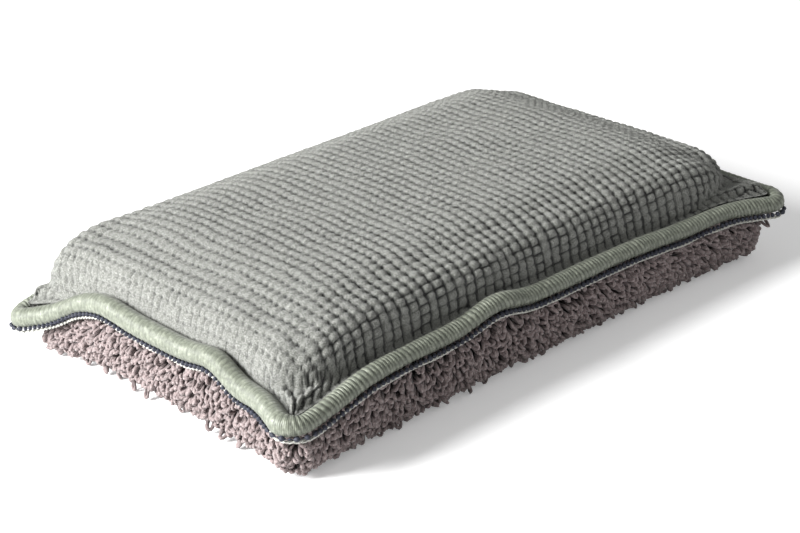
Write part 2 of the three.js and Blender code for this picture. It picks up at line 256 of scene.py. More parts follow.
def seam(s, t):
    """Height of the binding's middle beside the place (s, t)."""
    z = np.full(np.broadcast(s, t).shape, SEAM_HEIGHT)
    for corner in CORNERS:
        away = np.hypot((s - corner["side"][0]) * HALF[0], (t - corner["side"][1]) * HALF[1])
        z = z - corner["fall"] * np.exp(-((away / CORNER_FALL_REACH) ** 2))
    for wave in SEAM_WAVES:
        near_side = np.maximum(0, wave["side"][0] * s + wave["side"][1] * t) ** 4
        along = s if wave["side"][0] == 0 else t
        z = z + wave["rise"] * near_side * np.exp(-(((along - wave["at"]) / wave["reach"]) ** 2))
    return z


def corner_blend(s, t, name):
    """A value of the four corners, blended evenly between them."""
    return sum((1 + c["side"][0] * s) * (1 + c["side"][1] * t) / 4 * c[name] for c in CORNERS)


def dome(s, t, inset, depth, foot):
    """Height of the knit's dome, or of a surface that lies depth inside it."""
    base = seam(s, t) + foot
    power = corner_blend(s, t, "block")
    share = []
    for axis, place in enumerate((s, t)):
        margin = inset + (1 - np.abs(place)) * (HALF[axis] - inset)
        share.append(np.clip(1 - (margin - MOUTH - depth) / SHOULDERS[axis], 0, 1))
    q = np.minimum(1, (share[0] ** power + share[1] ** power) ** (1 / power))
    crown = CROWN - CROWN_FALL[0] * s * s - CROWN_FALL[1] * t * t - depth
    return base + (crown - base) * np.sqrt(1 - q * q)


def foot_puff(s, t, inset):
    """How much the knit swells above its flat foot beside the binding."""
    margins = [inset + (1 - np.abs(place)) * (HALF[axis] - inset) for axis, place in enumerate((s, t))]
    near = np.minimum(*margins)
    swell = smooth(near, MOUTH + PUFF_RISE[0], MOUTH + PUFF_RISE[1])
    height = FOOT_PUFF * swell
    for side, puff in EAR_PUFFS.items():
        away = np.hypot((s - side[0]) * HALF[0], (t - side[1]) * HALF[1])
        height = height + puff * np.exp(-((away / EAR_REACH) ** 2)) * np.maximum(swell, EAR_RIM_SHARE)
    return height * (1 - smooth(near, MOUTH + PUFF_FADE[0], MOUTH + PUFF_FADE[1]))


def smooth(value, low, high):
    """0 up to low, 1 from high, and a soft step between them."""
    share = np.clip((value - low) / (high - low), 0, 1)
    return share * share * (3 - 2 * share)


def wander(*coordinates, scale, seed):
    """A smooth random field, about -1 to 1, whose waves are about scale long."""
    random = np.random.default_rng(seed)
    total = 0
    for _ in range(7):
        direction = random.normal(size=len(coordinates))
        direction *= random.uniform(0.6, 1.4) * 2 * math.pi / scale / np.linalg.norm(direction)
        phase = sum(k * c for k, c in zip(direction, coordinates)) + random.uniform(0, 2 * math.pi)
        total = total + np.sin(phase)
    return total / 7**0.5


def mesh_object(name, points, faces, attributes=None):
    mesh = bpy.data.meshes.new(name)
    mesh.from_pydata((np.asarray(points) * MM).tolist(), [], [list(f) for f in faces])
    for key, values in (attributes or {}).items():
        layer = mesh.attributes.new(key, "FLOAT", "POINT")
        layer.data.foreach_set("value", np.asarray(values, dtype=np.float32))
    mesh.shade_smooth()
    mesh.validate()
    piece = bpy.data.objects.new(name, mesh)
    bpy.context.scene.collection.objects.link(piece)
    return piece


def grid_faces(rows, columns, start=0, flip=False):
    """Quads of a grid whose points run along columns first."""
    index = start + np.arange(rows * columns).reshape(rows, columns)
    quads = np.stack([index[:-1, :-1], index[:-1, 1:], index[1:, 1:], index[1:, :-1]], -1).reshape(-1, 4)
    return quads[:, ::-1] if flip else quads


def even_places(point_at, pitch, samples):
    """Places from -1 to 1, even along the cloth, with a whole number of stitches in all."""
    places = np.linspace(-1, 1, CLOTH_PROBES + 1)
    points = np.stack(point_at(places), -1)
    length = np.concatenate([[0], np.cumsum(np.linalg.norm(np.diff(points, axis=0), axis=1))])
    cells = round(length[-1] / pitch) * samples
    return np.interp(np.linspace(0, length[-1], cells + 1), length, places)


# Materials


class Nodes:
    """A small helper that adds and links shader nodes."""

    def __init__(self, name):
        self.material = bpy.data.materials.new(name)
        self.material.use_nodes = True
        self.tree = self.material.node_tree
        self.shader = self.tree.nodes["Principled BSDF"]

    def add(self, kind, inputs=None, **settings):
        node = self.tree.nodes.new(kind)
        for key, value in settings.items():
            setattr(node, key, value)
        for key, value in (inputs or {}).items():
            if isinstance(value, bpy.types.NodeSocket):
                self.tree.links.new(value, node.inputs[key])
            else:
                node.inputs[key].default_value = value
        return node

    def coordinates(self, stretch=(1, 1, 1)):
        place = self.add("ShaderNodeTexCoord").outputs["Object"]
        per_mm = [1000 * k for k in stretch]
        return self.add("ShaderNodeMapping", {"Vector": place, "Scale": per_mm}).outputs["Vector"]

    def noise(self, size, detail=3, stretch=(1, 1, 1), roughness=0.55, distortion=0.0):
        return self.add("ShaderNodeTexNoise", {
            "Vector": self.coordinates(stretch), "Scale": 1 / size, "Detail": detail,
            "Roughness": roughness, "Distortion": distortion}).outputs["Fac"]

    def attribute(self, name):
        return self.add("ShaderNodeAttribute", attribute_name=name).outputs["Fac"]

    def calculate(self, operation, a, b=0.0):
        return self.add("ShaderNodeMath", {0: a, 1: b}, operation=operation).outputs[0]

    def ramp(self, factor, stops):
        node = self.add("ShaderNodeValToRGB", {"Fac": factor})
        elements = node.color_ramp.elements
        for k, (place, colour) in enumerate(stops):
            element = elements[k] if k < 2 else elements.new(place)
            element.position = place
            element.color = (*[linear(c) for c in colour], 1)
        return node.outputs["Color"]

    def mix(self, factor, a, b, blend="MIX"):
        node = self.add("ShaderNodeMix", data_type="RGBA", blend_type=blend)
        for key, value in ((0, factor), (6, a), (7, b)):
            if isinstance(value, bpy.types.NodeSocket):
                self.tree.links.new(value, node.inputs[key])
            elif key == 0:
                node.inputs[key].default_value = value
            else:
                node.inputs[key].default_value = (*[linear(c) for c in value], 1)
        return node.outputs[2]

    def bump(self, height, distance, strength=1.0, under=None):
        inputs = {"Height": height, "Distance": distance * MM, "Strength": strength}
        if under is not None:
            inputs["Normal"] = under
        return self.add("ShaderNodeBump", inputs).outputs["Normal"]

    def finish(self, colour, roughness, normal=None, **sockets):
        links = self.tree.links
        links.new(colour, self.shader.inputs["Base Color"])
        self.shader.inputs["Roughness"].default_value = roughness
        if normal is not None:
            links.new(normal, self.shader.inputs["Normal"])
        for key, value in sockets.items():
            self.shader.inputs[key.replace("_", " ")].default_value = value
        return self.material


def linear(channel):
    """A linear value from a display channel of 0 to 255."""
    c = channel / 255
    return c / 12.92 if c <= 0.04045 else ((c + 0.055) / 1.055) ** 2.4


def knit_material():
    n = Nodes("knit_microfibre")
    fibre = n.noise(0.24, detail=5, stretch=(1, 0.6, 1), roughness=0.75, distortion=0.8)
    tuft = n.noise(1.1, detail=2)
    cloud = n.noise(22, detail=2)
    base = n.ramp(fibre, [(0.36, (56, 57, 53)), (0.5, (124, 125, 120)), (0.63, (198, 199, 193))])
    tufted = n.mix(n.calculate("MULTIPLY", tuft, 0.3), base, (160, 162, 153))
    clouded = n.mix(n.calculate("MULTIPLY", cloud, 0.3), tufted, (118, 121, 112))
    # Painted shade: the gaps between the stitches are darkened almost to black.
    gap = n.ramp(n.attribute("gap"), [(0.15, (0, 0, 0)), (0.7, (255, 255, 255))])
    colour = n.mix(gap, clouded, (22, 23, 19))
    normal = n.bump(fibre, 0.5, 1.0)
    return n.finish(colour, 0.92, normal, Sheen_Weight=0.35, Sheen_Roughness=0.5, Specular_IOR_Level=0.2)


def pile_material():
    n = Nodes("noodle_pile")
    fibre = n.noise(0.4, detail=3, roughness=0.65, distortion=0.8)
    tone = n.attribute("tone")
    base = n.ramp(fibre, [(0.3, (94, 82, 81)), (0.52, (142, 128, 127)), (0.74, (192, 179, 177))])
    toned = n.mix(n.calculate("MULTIPLY", tone, 0.5), base, (160, 145, 144))
    # Painted shade: the loops darken towards their roots.
    root = n.ramp(n.attribute("root"), [(0.05, (0, 0, 0)), (0.75, (255, 255, 255))])
    colour = n.mix(root, toned, (60, 51, 51))
    normal = n.bump(fibre, 0.3, 0.9)
    return n.finish(colour, 0.92, normal, Sheen_Weight=0.3, Sheen_Roughness=0.5, Specular_IOR_Level=0.2)


def base_material():
    n = Nodes("pile_backing")
    weave = n.noise(0.8, detail=3)
    # Painted shade: the backing is coloured as dark as the loops' shaded roots, since it shows only in the
    # shade between the loops.
    colour = n.ramp(weave, [(0.3, (40, 33, 34)), (0.7, (84, 73, 74))])
    return n.finish(colour, 0.95, n.bump(weave, 0.3))


def binding_material():
    n = Nodes("satin_thread")
    strand = n.calculate("SINE", n.calculate("MULTIPLY", n.attribute("along"), 2 * math.pi / STRAND_PITCH))
    cloud = n.noise(4, detail=2)
    shade = n.noise(1.0, detail=2, roughness=0.6)
    base = n.ramp(shade, [(0.3, (92, 97, 86)), (0.55, (121, 126, 113)), (0.8, (160, 165, 150))])
    # Painted shade: the grooves between the wraps are darkened, more on the long sides, and the slot fully.
    groove = n.ramp(n.attribute("groove"), [(0.35, (0, 0, 0)), (1.0, (255, 255, 255))])
    colour = n.mix(n.calculate("MULTIPLY", cloud, 0.3), base, (100, 103, 84))
    colour = n.mix(groove, colour, (46, 48, 38))
    normal = n.bump(strand, 0.03, 0.6)
    return n.finish(colour, 0.48, normal, Sheen_Weight=0.15, Specular_IOR_Level=0.5)


def thread_material(name, dark, light, roughness):
    n = Nodes(name)
    ply = n.noise(0.3, detail=3, roughness=0.6)
    return n.finish(n.ramp(ply, [(0.3, dark), (0.75, light)]), roughness, n.bump(ply, 0.1, 0.8))


def foam_material():
    n = Nodes("open_foam")
    cells = n.add("ShaderNodeTexVoronoi", {"Vector": n.coordinates(), "Scale": 1.4}).outputs["Distance"]
    colour = n.ramp(cells, [(0.1, (150, 145, 130)), (0.6, (214, 208, 190))])
    return n.finish(colour, 0.95, n.bump(cells, 0.4))


# Camera, lights and floor


def add_camera():
    azimuth, elevation, roll = (math.radians(k) for k in CAMERA_ANGLES)
    level = math.cos(elevation)
    back = Vector((math.sin(azimuth) * level, -math.cos(azimuth) * level, math.sin(elevation)))
    right = Vector((math.cos(azimuth), math.sin(azimuth), 0))
    up = back.cross(right)
    rolled_right = right * math.cos(roll) + up * math.sin(roll)
    rolled_up = up * math.cos(roll) - right * math.sin(roll)
    data = bpy.data.cameras.new("camera")
    data.sensor_width = CAMERA_SENSOR
    data.lens = CAMERA_LENS
    data.clip_start, data.clip_end = 0.05, 20
    camera = bpy.data.objects.new("camera", data)
    bpy.context.scene.collection.objects.link(camera)
    turn = Matrix((rolled_right, rolled_up, back)).transposed()
    place = Vector(CAMERA_TARGET) * MM + back * (CAMERA_DISTANCE * MM)
    camera.matrix_world = Matrix.Translation(place) @ turn.to_4x4()
    bpy.context.scene.camera = camera


def add_lamp(name, place, size, power):
    """A round soft lamp that faces the middle of the pad's footprint."""
    data = bpy.data.lights.new(name, "AREA")
    data.shape = "DISK"
    data.size = size
    data.energy = power
    lamp = bpy.data.objects.new(name, data)
    lamp.location = place
    lamp.rotation_euler = (-Vector(place)).to_track_quat("-Z", "Y").to_euler()
    bpy.context.scene.collection.objects.link(lamp)


def add_floor():
    corners = np.array([(-1, -1, 0), (1, -1, 0), (1, 1, 0), (-1, 1, 0)]) * FLOOR_REACH
    floor = mesh_object("floor", corners - (0, 0, FLOOR_DROP), [(0, 1, 2, 3)])
    n = Nodes("floor_white")
    n.finish(n.ramp(n.noise(300), [(0.0, (240, 240, 240)), (1.0, (244, 244, 244))]), 0.9)
    # The camera alone sees a glow on the floor, so that it goes to white.
    seen = n.add("ShaderNodeLightPath")
    glow = n.add("ShaderNodeEmission", {"Color": (1, 1, 1, 1), "Strength": FLOOR_GLOW})
    total = n.add("ShaderNodeAddShader", {0: n.shader.outputs[0], 1: glow.outputs[0]})
    pick = n.add("ShaderNodeMixShader", {
        0: seen.outputs["Is Camera Ray"], 1: n.shader.outputs[0], 2: total.outputs[0]})
    n.tree.links.new(pick.outputs[0], n.tree.nodes["Material Output"].inputs["Surface"])
    floor.data.materials.append(n.material)


def add_world():
    """Even light from all round, and plain white where the camera sees past the floor."""
    world = bpy.data.worlds.new("studio")
    world.use_nodes = True
    tree = world.node_tree
    background = tree.nodes["Background"]
    background.inputs["Color"].default_value = (1, 1, 1, 1)
    background.inputs["Strength"].default_value = WORLD_STRENGTH
    white = tree.nodes.new("ShaderNodeBackground")
    white.inputs["Strength"].default_value = 1.0
    path = tree.nodes.new("ShaderNodeLightPath")
    mix = tree.nodes.new("ShaderNodeMixShader")
    tree.links.new(path.outputs["Is Camera Ray"], mix.inputs[0])
    tree.links.new(background.outputs[0], mix.inputs[1])
    tree.links.new(white.outputs[0], mix.inputs[2])
    tree.links.new(mix.outputs[0], tree.nodes["World Output"].inputs["Surface"])
    bpy.context.scene.world = world


# Seam line and sweeps

RIM_PROBES = 3000
# A station's heading is taken between the stations this far behind and ahead of it.
HEADING_REACH = 0.8


def seam_line(step):
    """Even stations along the binding's middle: points, ways out, and lengths along."""
    run = np.linspace(-1, 1, RIM_PROBES, endpoint=False)
    one = np.ones_like(run)
    s = np.concatenate([run, one, -run, -one])
    t = np.concatenate([-one, run, one, -run])
    x, y = plan(s, t, BINDING_RADIUS)
    points = np.stack([x, y, seam(s, t)], -1)
    closed = np.vstack([points, points[:1]])
    length = np.concatenate([[0], np.cumsum(np.linalg.norm(np.diff(closed, axis=0), axis=1))])
    count = round(length[-1] / step)
    along = np.linspace(0, length[-1], count, endpoint=False)
    line = np.stack([np.interp(along, length, closed[:, k]) for k in range(3)], -1)
    reach = max(1, round(HEADING_REACH / step))
    ahead = np.roll(line, -reach, 0) - np.roll(line, reach, 0)
    ahead[:, 2] = 0
    ahead /= np.linalg.norm(ahead, axis=1)[:, None]
    outward = np.stack([ahead[:, 1], -ahead[:, 0], np.zeros(count)], -1)
    return line, outward, along


def sweep(line, outward, out, up):
    """Points of a section that is (out, up) from the line, one row for each station."""
    return line[:, None] + outward[:, None] * out[..., None] + np.array([0, 0, 1]) * up[..., None]


def ring_faces(stations, sides):
    """Quads of a closed sweep of closed sections."""
    index = np.arange(stations * sides).reshape(stations, sides)
    ahead, over = np.roll(index, -1, 0), np.roll(index, -1, 1)
    both = np.roll(ahead, -1, 1)
    return np.stack([index, ahead, both, over], -1).reshape(-1, 4)


def wrapped_radius(along, angle, on_long):
    """The roll's radius at each station and angle, and each point's share of the way off its wrap's top."""
    drift = WRAP_DRIFT * wander(along, scale=9, seed=3)[:, None]
    place = along[:, None] / WRAP_PITCH + WRAP_LEAN * np.sin(angle)[None] + drift
    across = np.abs(2 * (place % 1) - 1)
    heights = np.random.default_rng(5).uniform(-WRAP_HEIGHT_CHANCE, WRAP_HEIGHT_CHANCE, MOST_WRAPS)
    own = heights[np.floor(place).astype(int) % MOST_WRAPS] * (0.35 + 0.65 * on_long)
    depth = WRAP_DEPTH + LONG_SIDE_WRAP_DEPTH * on_long
    roll = ROLL_WANDER * wander(along, scale=23, seed=4)[:, None]
    # The wraps fade out at the two lips of the slot.
    fade = np.sin(np.linspace(0, math.pi, BINDING_SIDES)) ** 0.3
    radius = BINDING_RADIUS + (own - depth * across**2.2 + roll) * fade[None]
    return radius * (1 - LONG_SIDE_THINNING * on_long), across


def make_binding(material):
    """The overlocked edge: a wrapped roll with a slot on its inner side for the hems."""
    line, outward, along = seam_line(WRAP_PITCH / WRAP_STATIONS)
    stations = len(along)
    slot_half = HEM_TOP + CLEARANCE
    lip = math.asin(slot_half / BINDING_RADIUS)
    angle = np.linspace(-math.pi + lip, math.pi - lip, BINDING_SIDES)
    on_long = (np.abs(outward[:, 1]) ** 2)[:, None]
    radius, across = wrapped_radius(along, angle, on_long)
    slot_out = np.full((stations, 2), SLOT_END)
    slot_up = np.tile([slot_half, -slot_half], (stations, 1))
    out = np.concatenate([radius * np.cos(angle), slot_out], 1)
    up = np.concatenate([radius * np.sin(angle), slot_up], 1)
    # Painted shade: how dark each point is in the grooves between the wraps, more on the long sides, and
    # fully dark in the slot.
    groove = np.concatenate([across**2 * (0.7 + 0.3 * on_long), np.ones((stations, 2))], 1)
    sides = BINDING_SIDES + 2
    points = sweep(line, outward, out, up).reshape(-1, 3)
    values = {"groove": groove.ravel(), "along": np.repeat(along, sides)}
    piece = mesh_object("binding_wraps", points, ring_faces(stations, sides), values)
    dress(piece, material, "edge_binding")


def dress(piece, material, node):
    piece.data.materials.append(material)
    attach(piece, "root")
    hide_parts(node)


def tube_points(path, radius, sides):
    """A tube round a path: the ring of points at each station."""
    ahead = np.gradient(path, axis=0)
    ahead /= np.linalg.norm(ahead, axis=1)[:, None]
    side = np.cross(ahead, (0, 0, 1))
    side /= np.linalg.norm(side, axis=1)[:, None]
    up = np.cross(side, ahead)
    turn = np.linspace(0, 2 * math.pi, sides, endpoint=False)
    ring = side[:, None] * np.cos(turn)[None, :, None] + up[:, None] * np.sin(turn)[None, :, None]
    return path[:, None] + ring * np.broadcast_to(radius, len(path))[:, None, None]


def closed_tube(path, radius, sides):
    """Points of a tube round a closed path."""
    closed = np.vstack([path[-1:], path, path[:1]])
    radius = np.pad(np.broadcast_to(radius, len(path)), 1, mode="wrap")
    return tube_points(closed, radius, sides)[1:-1].reshape(-1, 3)


def thread_line(step, angle, gap, sag=0.0):
    """A line beside the binding: its points, the ways out, and lengths along the binding."""
    line, outward, along = seam_line(step)
    away = BINDING_RADIUS + gap
    turn = math.radians(angle)
    path = line + outward * away * math.cos(turn)
    path[:, 2] += away * math.sin(turn) + sag * wander(along, scale=14, seed=8)
    return path, outward, along


def make_looper_thread(material):
    """A dark thread that knots over each wrap: a row of beads with a thin thread between them."""
    path, _, along = thread_line(BEAD_PITCH / BEAD_STATIONS, LOOPER_ANGLE, LOOPER_GAP)
    phase = (along / BEAD_PITCH) % 1
    bead = np.sqrt(np.clip(1 - ((2 * phase - 1) / BEAD_SHARE) ** 2, 0, 1))
    sizes = np.random.default_rng(6).uniform(*BEAD_SIZES, MOST_WRAPS)
    own = sizes[np.floor(along / BEAD_PITCH).astype(int)]
    radius = np.maximum(THINNEST_THREAD, BEAD_RADIUS * bead * own)
    points = closed_tube(path, radius, BEAD_SIDES)
    piece = mesh_object("looper_beads", points, ring_faces(len(path), BEAD_SIDES))
    dress(piece, material, "looper_thread")


def make_chain_thread(material):
    """A white two-ply thread that runs below the dark one."""
    path, outward, along = thread_line(CHAIN_STEP, CHAIN_ANGLE, CHAIN_GAP, CHAIN_SAG)
    turns = np.round(along[-1] / CHAIN_TWIST)
    turn = 2 * math.pi * turns * along / (along[-1] + CHAIN_STEP)
    points = []
    faces = []
    for ply in range(2):
        offset = outward * (PLY_RADIUS * np.cos(turn + ply * math.pi))[:, None]
        offset[:, 2] += PLY_RADIUS * np.sin(turn + ply * math.pi)
        points.append(closed_tube(path + offset, PLY_RADIUS * PLY_OVERLAP, CHAIN_SIDES))
        faces.append(ring_faces(len(path), CHAIN_SIDES) + ply * len(path) * CHAIN_SIDES)
    piece = mesh_object("chain_plies", np.vstack(points), np.vstack(faces))
    dress(piece, material, "chain_thread")


# Knit


def knit_face(s, t):
    """The knit's smooth outer face at (s, t), without its stitches."""
    x, y = plan(s, t, KNIT_RIM_INSET)
    return x, y, dome(s, t, KNIT_RIM_INSET, 0, HEM_TOP) + foot_puff(s, t, KNIT_RIM_INSET)


def grid_normals(points):
    normal = np.cross(np.gradient(points, axis=1), np.gradient(points, axis=0))
    return normal / np.maximum(np.linalg.norm(normal, axis=-1), 1e-9)[..., None]


def stitch_places(points):
    """Each point's shares of the way across its rib and along its stitch, from the middle, and its draw."""
    u = cloth_lengths(points, 1) / RIB_PITCH
    v = cloth_lengths(points, 0) / ROW_PITCH
    u = u + RIB_WANDER * wander(u, v, scale=11, seed=21) + RIB_SHAKE * wander(u, v, scale=3, seed=22)
    rib = np.floor(u).astype(int)
    shifts = np.random.default_rng(23).uniform(-ROW_SHIFT, ROW_SHIFT, 2 * MOST_STITCHES)
    v = v + shifts[rib + MOST_STITCHES] + ROW_WANDER * wander(u, v, scale=8, seed=24)
    row = np.floor(v).astype(int)
    stitches = np.random.default_rng(25).uniform(0, 1, (2 * MOST_STITCHES, 2 * MOST_STITCHES))
    own = stitches[row + MOST_STITCHES, rib + MOST_STITCHES]
    return np.abs(2 * (u - rib) - 1), np.abs(2 * (v - row) - 1), own


def stitch_relief(across, along, own, on_wall, on_end):
    """The share of its full height that each stitch has at each point."""
    notch = NOTCH + NOTCH_ON_WALLS * on_wall + NOTCH_ON_ENDS * on_end + NOTCH_CHANCE * (own - 0.5)
    groove = 1 - GROOVE_LOSS_ON_ENDS * on_end
    pillow = 1 - groove * (1 - np.sqrt(np.clip(1 - across**2.4, 0, 1)))
    return pillow * (1 - notch * along**3)


def stitch_gap_shade(across, along, own, on_wall, on_end):
    """Painted shade at each point: how dark it is, most where a rib's groove meets the notch between two
    stitches, more on the side walls and less on the end walls.
    """
    hole_shade = smooth(across, 0.45, 1.0) * (0.35 + 0.65 * smooth(along, 0.35, 0.9))
    long_wall_groove_shade = on_wall * (1 - on_end) * smooth(across, 0.6, 0.95) * 0.9
    row_gap_shade = smooth(along, 0.7, 1.0) * (0.25 + 0.5 * on_wall)
    deepest_shade = np.maximum(np.maximum(hole_shade, long_wall_groove_shade), row_gap_shade)
    return np.clip(deepest_shade * (0.75 + 0.5 * own) * (1 - 0.45 * on_end), 0, 1)


def knit_lining(s_places, t_places):
    """The knit's inner face, on a coarser grid."""
    s, t = np.meshgrid(s_places, t_places)
    inset = MOUTH + CLEARANCE
    x, y = plan(s, t, inset)
    return np.stack([x, y, dome(s, t, inset, KNIT_THICKNESS, LINING_LIFT)], -1)


def make_knit(material):
    s_places = even_places(lambda s: knit_face(s, 0 * s), RIB_PITCH, RIB_SAMPLES)
    t_places = even_places(lambda t: knit_face(0 * t, t), ROW_PITCH, ROW_SAMPLES)
    s, t = np.meshgrid(s_places, t_places)
    points = np.stack(knit_face(s, t), -1)
    normal = grid_normals(points)
    on_wall = smooth(1 - normal[..., 2], 0.05, 0.45)
    on_end = np.clip(-normal[..., 0], 0, 1)
    across, along, own = stitch_places(points)
    pillow = stitch_relief(across, along, own, on_wall, on_end)
    height = STITCH_HEIGHT + STITCH_HEIGHT_CHANCE * (own - 0.5)
    edge = np.minimum(1, np.minimum(1 - np.abs(s), 1 - np.abs(t)) / RIM_FADE)
    raised = (pillow - 1) * height * edge + STITCH_LIFT_CHANCE * (own - 0.5)
    points = points + normal * raised[..., None]
    # Painted shade in the stitches' gaps; the lining's points get full painted shade.
    gap = stitch_gap_shade(across, along, own, on_wall, on_end)

    lining = knit_lining(s_places[::RIB_SAMPLES], t_places[::ROW_SAMPLES])
    fine, coarse = s.shape, lining.shape[:2]
    quads = np.vstack([grid_faces(*fine), grid_faces(*coarse, start=s.size, flip=True)])
    rim = stitched(rim_indices(*coarse) + s.size, rim_indices(*fine), coarse, fine)
    all_points = np.vstack([points.reshape(-1, 3), lining.reshape(-1, 3)])
    gap_shade_values = np.concatenate([gap.ravel(), np.ones(coarse[0] * coarse[1])])
    piece = mesh_object("knit_top", all_points, quads.tolist() + rim, {"gap": gap_shade_values})
    dress(piece, material, "knit_cover")


def cloth_lengths(points, axis):
    """Length of cloth from the middle of the pad to each grid point, along one way of the grid."""
    steps = np.linalg.norm(np.diff(points, axis=axis), axis=-1)
    start = np.zeros_like(np.take(steps, [0], axis=axis))
    lengths = np.cumsum(np.concatenate([start, steps], axis=axis), axis=axis)
    return lengths - np.take(lengths, [lengths.shape[axis] // 2], axis=axis)


def rim_indices(rows, columns):
    """The points on a grid's rim, once round."""
    index = np.arange(rows * columns).reshape(rows, columns)
    return np.concatenate([index[0, :-1], index[:-1, -1], index[-1, :0:-1], index[:0:-1, 0]])


def stitched(inner, outer, inner_shape, outer_shape):
    """Joins a coarse rim to a fine one, whose points it shares out evenly."""
    faces = []
    sides = [(inner_shape[1] - 1, outer_shape[1] - 1), (inner_shape[0] - 1, outer_shape[0] - 1)] * 2
    i = j = 0
    for coarse, fine in sides:
        each = fine // coarse
        for _ in range(coarse):
            a, b = inner[i], inner[(i + 1) % len(inner)]
            ring = [outer[(j + k) % len(outer)] for k in range(each + 1)]
            middle = each // 2
            for k in range(each):
                faces.append([ring[k], a if k < middle else b, ring[k + 1]][::-1])
            faces.append([a, b, ring[middle]])
            i += 1
            j += each
    return faces


# Pile


def tucked(s, t, x, y):
    """x and y drawn in beside the corners, by each corner's own amount."""
    near = np.abs(s * t) ** CORNER_TUCK_SHARPNESS * corner_blend(s, t, "pile")
    return x - np.sign(s) * near, y - np.sign(t) * near


def pile_wall(s, t, height):
    """Points on the wall of tips beside the rim places (s, t), at shares of the way up."""
    inset = np.interp(height, WALL_HEIGHTS, WALL_INSETS)
    x, y = np.empty_like(s), np.empty_like(s)
    for k in range(len(s)):
        x[k], y[k] = plan(s[k], t[k], inset[k])
    return np.stack([*tucked(s, t, x, y), height * (seam(s, t) - THREAD_ROOM)], -1)


def backing_rim():
    """s and t of the backing's stations, once round the rim."""
    long_cells, short_cells = BACKING_CELLS
    up_long = np.linspace(-1, 1, long_cells, endpoint=False)
    down_long = np.linspace(1, -1, long_cells, endpoint=False)
    up_short = np.linspace(-1, 1, short_cells, endpoint=False)
    down_short = np.linspace(1, -1, short_cells, endpoint=False)
    s = np.concatenate([up_long, np.ones(short_cells), down_long, -np.ones(short_cells)])
    t = np.concatenate([-np.ones(long_cells), up_short, np.ones(long_cells), down_short])
    return s, t


def make_pile_base(material):
    """The backing that the loops stand on: a closed form that lies inside their tips."""
    s, t = backing_rim()
    height = seam(s, t)
    loops = []
    for inset, share in BACKING_SECTION:
        z = BACKING_LIFT + share * (height - BACKING_LIFT - BACKING_ROOM)
        loops.append(np.stack([*tucked(s, t, *plan(s, t, inset)), z], -1))
    loops.append(np.stack([*plan(s, t, MOUTH), height - HEM_TOP], -1))
    loops.append(np.stack([*plan(s, t, MOUTH + NECK_SET), height - NECK_LIFT], -1))
    loops.append(np.stack([*plan(s, t, BACKING_TOP_INSET), np.full(len(s), BACKING_TOP)], -1))
    points = np.vstack(loops)
    index = np.arange(len(points)).reshape(len(loops), len(s))
    ahead = np.roll(index, -1, 1)
    quads = np.stack([index[:-1], ahead[:-1], ahead[1:], index[1:]], -1).reshape(-1, 4).tolist()
    quads.append(index[0][::-1].tolist())
    quads.append(index[-1].tolist())
    piece = mesh_object("pile_backing", points, quads)
    dress(piece, material, "pile_cover")


def loop_paths(random, roots, outs, lengths, bend, reach):
    """Each loop's middle line, out from its root, over and back, and the way in which it leans."""
    count = len(roots)
    out_axis = outs / np.linalg.norm(outs, axis=1)[:, None]
    side = np.cross(out_axis, random.normal(size=(count, 3)))
    side /= np.linalg.norm(side, axis=1)[:, None]
    lean = np.cross(out_axis, side)
    width = random.uniform(*LOOP_HALF_WIDTHS, count)[:, None]
    curl = random.uniform(-LOOP_CURL, LOOP_CURL, count)[:, None]
    swing = random.uniform(-1.0, 1.0, count)[:, None]
    forward = lengths[:, None] * reach
    aside = width * -np.cos(bend) + LOOP_SWING * swing * reach**2
    leaning = curl * reach**2 + LOOP_S_BEND * np.sin(2 * bend)
    path = roots[:, None] + out_axis[:, None] * forward[..., None]
    path = path + side[:, None] * aside[..., None] + lean[:, None] * leaning[..., None]
    return path, lean


def loop_rings(random, path, lean, bend):
    """Rings of points round each loop's path, as lumpy as twisted yarn, and none below the floor."""
    ahead = np.gradient(path, axis=1)
    ahead /= np.linalg.norm(ahead, axis=-1)[..., None]
    across = np.cross(ahead, np.broadcast_to(lean[:, None], path.shape))
    across /= np.maximum(np.linalg.norm(across, axis=-1), 1e-6)[..., None]
    over = np.cross(across, ahead)
    thick = random.uniform(*LOOP_RADII, len(path))[:, None, None]
    turn = np.linspace(0, 2 * math.pi, LOOP_SIDES, endpoint=False)
    phase = 3 * bend[None, :, None] + 2 * turn + random.uniform(0, 6, (len(path), 1, 1))
    radius = thick * (1 + LOOP_LUMP * np.sin(phase))
    points = path[:, :, None] + across[:, :, None] * (radius * np.cos(turn))[..., None]
    points = points + over[:, :, None] * (radius * np.sin(turn))[..., None]
    points[..., 2] = np.maximum(points[..., 2], 0.0)
    return points


def loop_faces(count):
    """Quads along every loop, and a cap at each of its ends."""
    index = np.arange(count * LOOP_STATIONS * LOOP_SIDES).reshape(count, LOOP_STATIONS, LOOP_SIDES)
    near, far = index[:, :-1], index[:, 1:]
    quads = np.stack([near, np.roll(near, -1, 2), np.roll(far, -1, 2), far], -1).reshape(-1, 4)
    return quads.tolist() + index[:, 0, ::-1].tolist() + index[:, -1].tolist()


